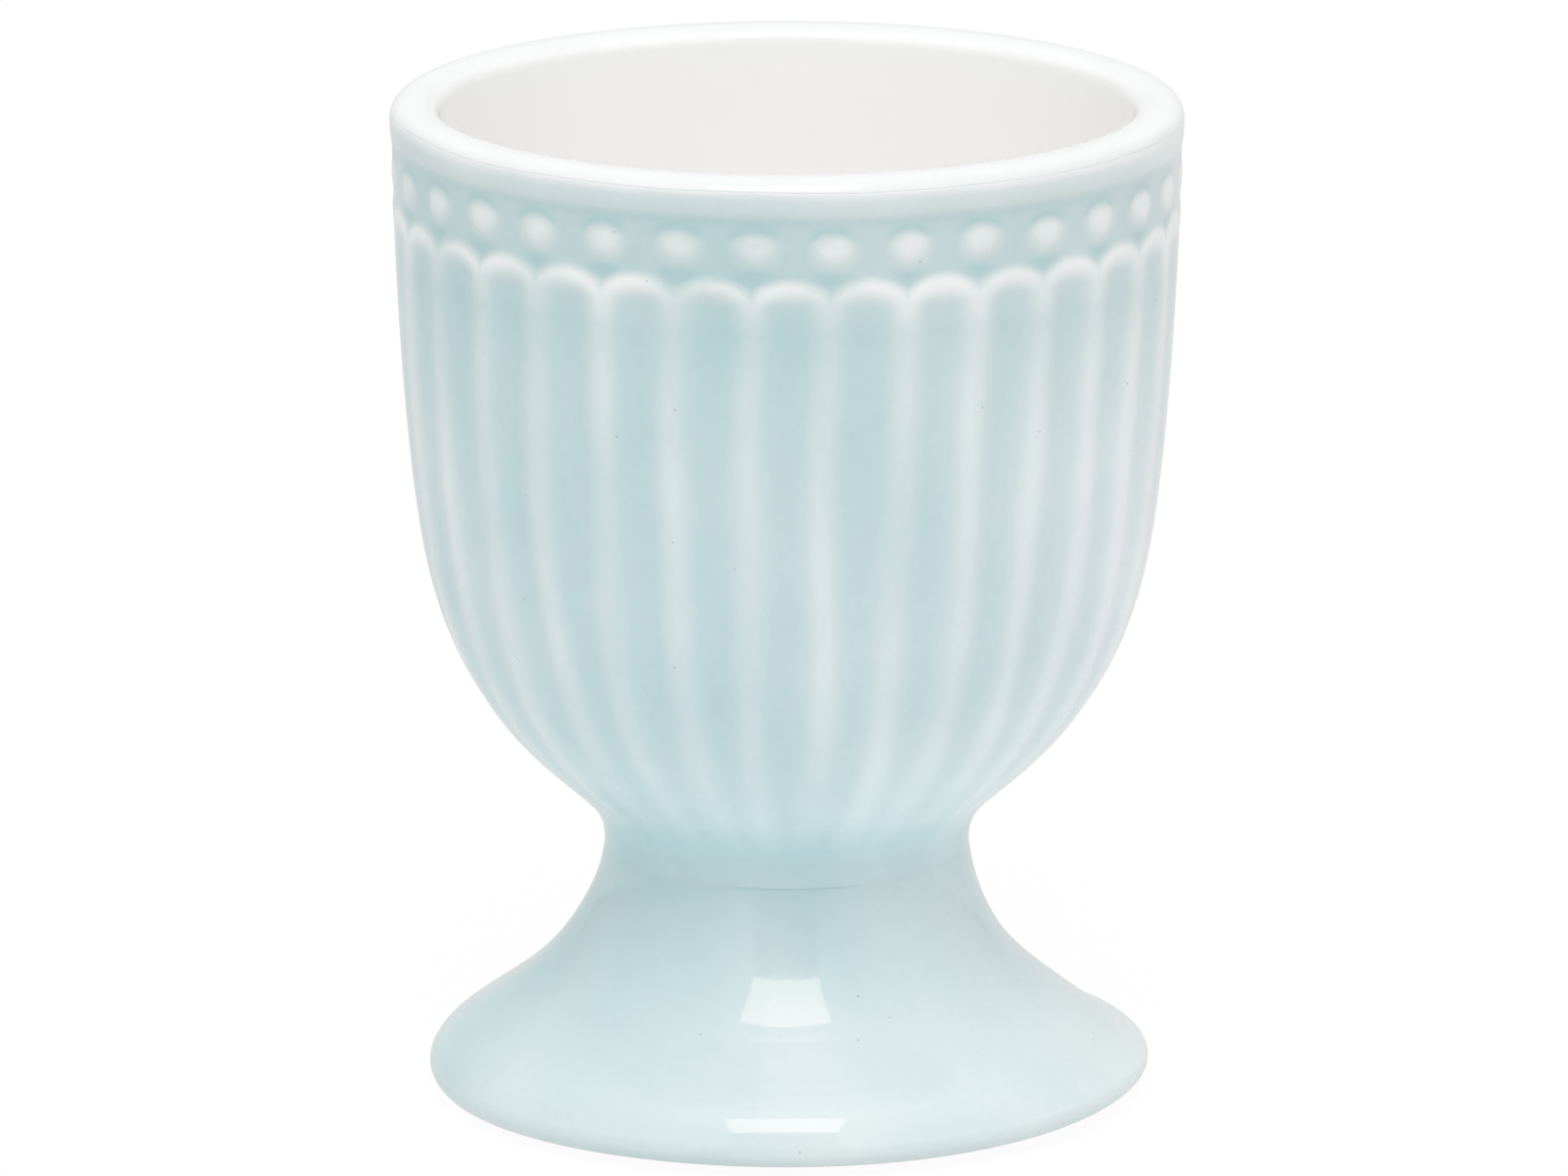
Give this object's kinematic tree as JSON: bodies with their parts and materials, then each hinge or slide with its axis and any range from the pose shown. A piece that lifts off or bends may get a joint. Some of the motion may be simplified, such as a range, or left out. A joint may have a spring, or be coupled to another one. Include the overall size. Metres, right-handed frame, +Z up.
{
  "type": "egg cup",
  "caption": "Footed ceramic egg cup with a fluted, beaded bowl glazed pale blue outside and white inside, on a flared hollow foot.",
  "frame": {"origin": "on the standing plane, on the axis of the cup", "axes": "+Z up along the axis of the cup, out of its mouth; a flute is centred on -Y"},
  "size_m": [0.0506, 0.0506, 0.065],
  "materials": {
    "blue_glaze": "glossy pale blue glaze, pooled darker in the flutes and thin and paler on the ridges",
    "bead_glaze": "the same glaze, thin and paler on the crowns of the beads",
    "white_glaze": "glossy warm white glaze",
    "fired_slip": "fired slip under blue glaze, seen only as a fine crease",
    "foot_glaze": "smooth glossy pale blue glaze",
    "bare_clay": "unglazed fired clay, matte"
  },
  "bodies": {
    "root": {"bowl": "blue_glaze", "bead_row": "bead_glaze", "lining": "white_glaze", "slip_joint": "fired_slip", "foot": "foot_glaze", "foot_ring": "bare_clay"}
  },
  "joints": []
}
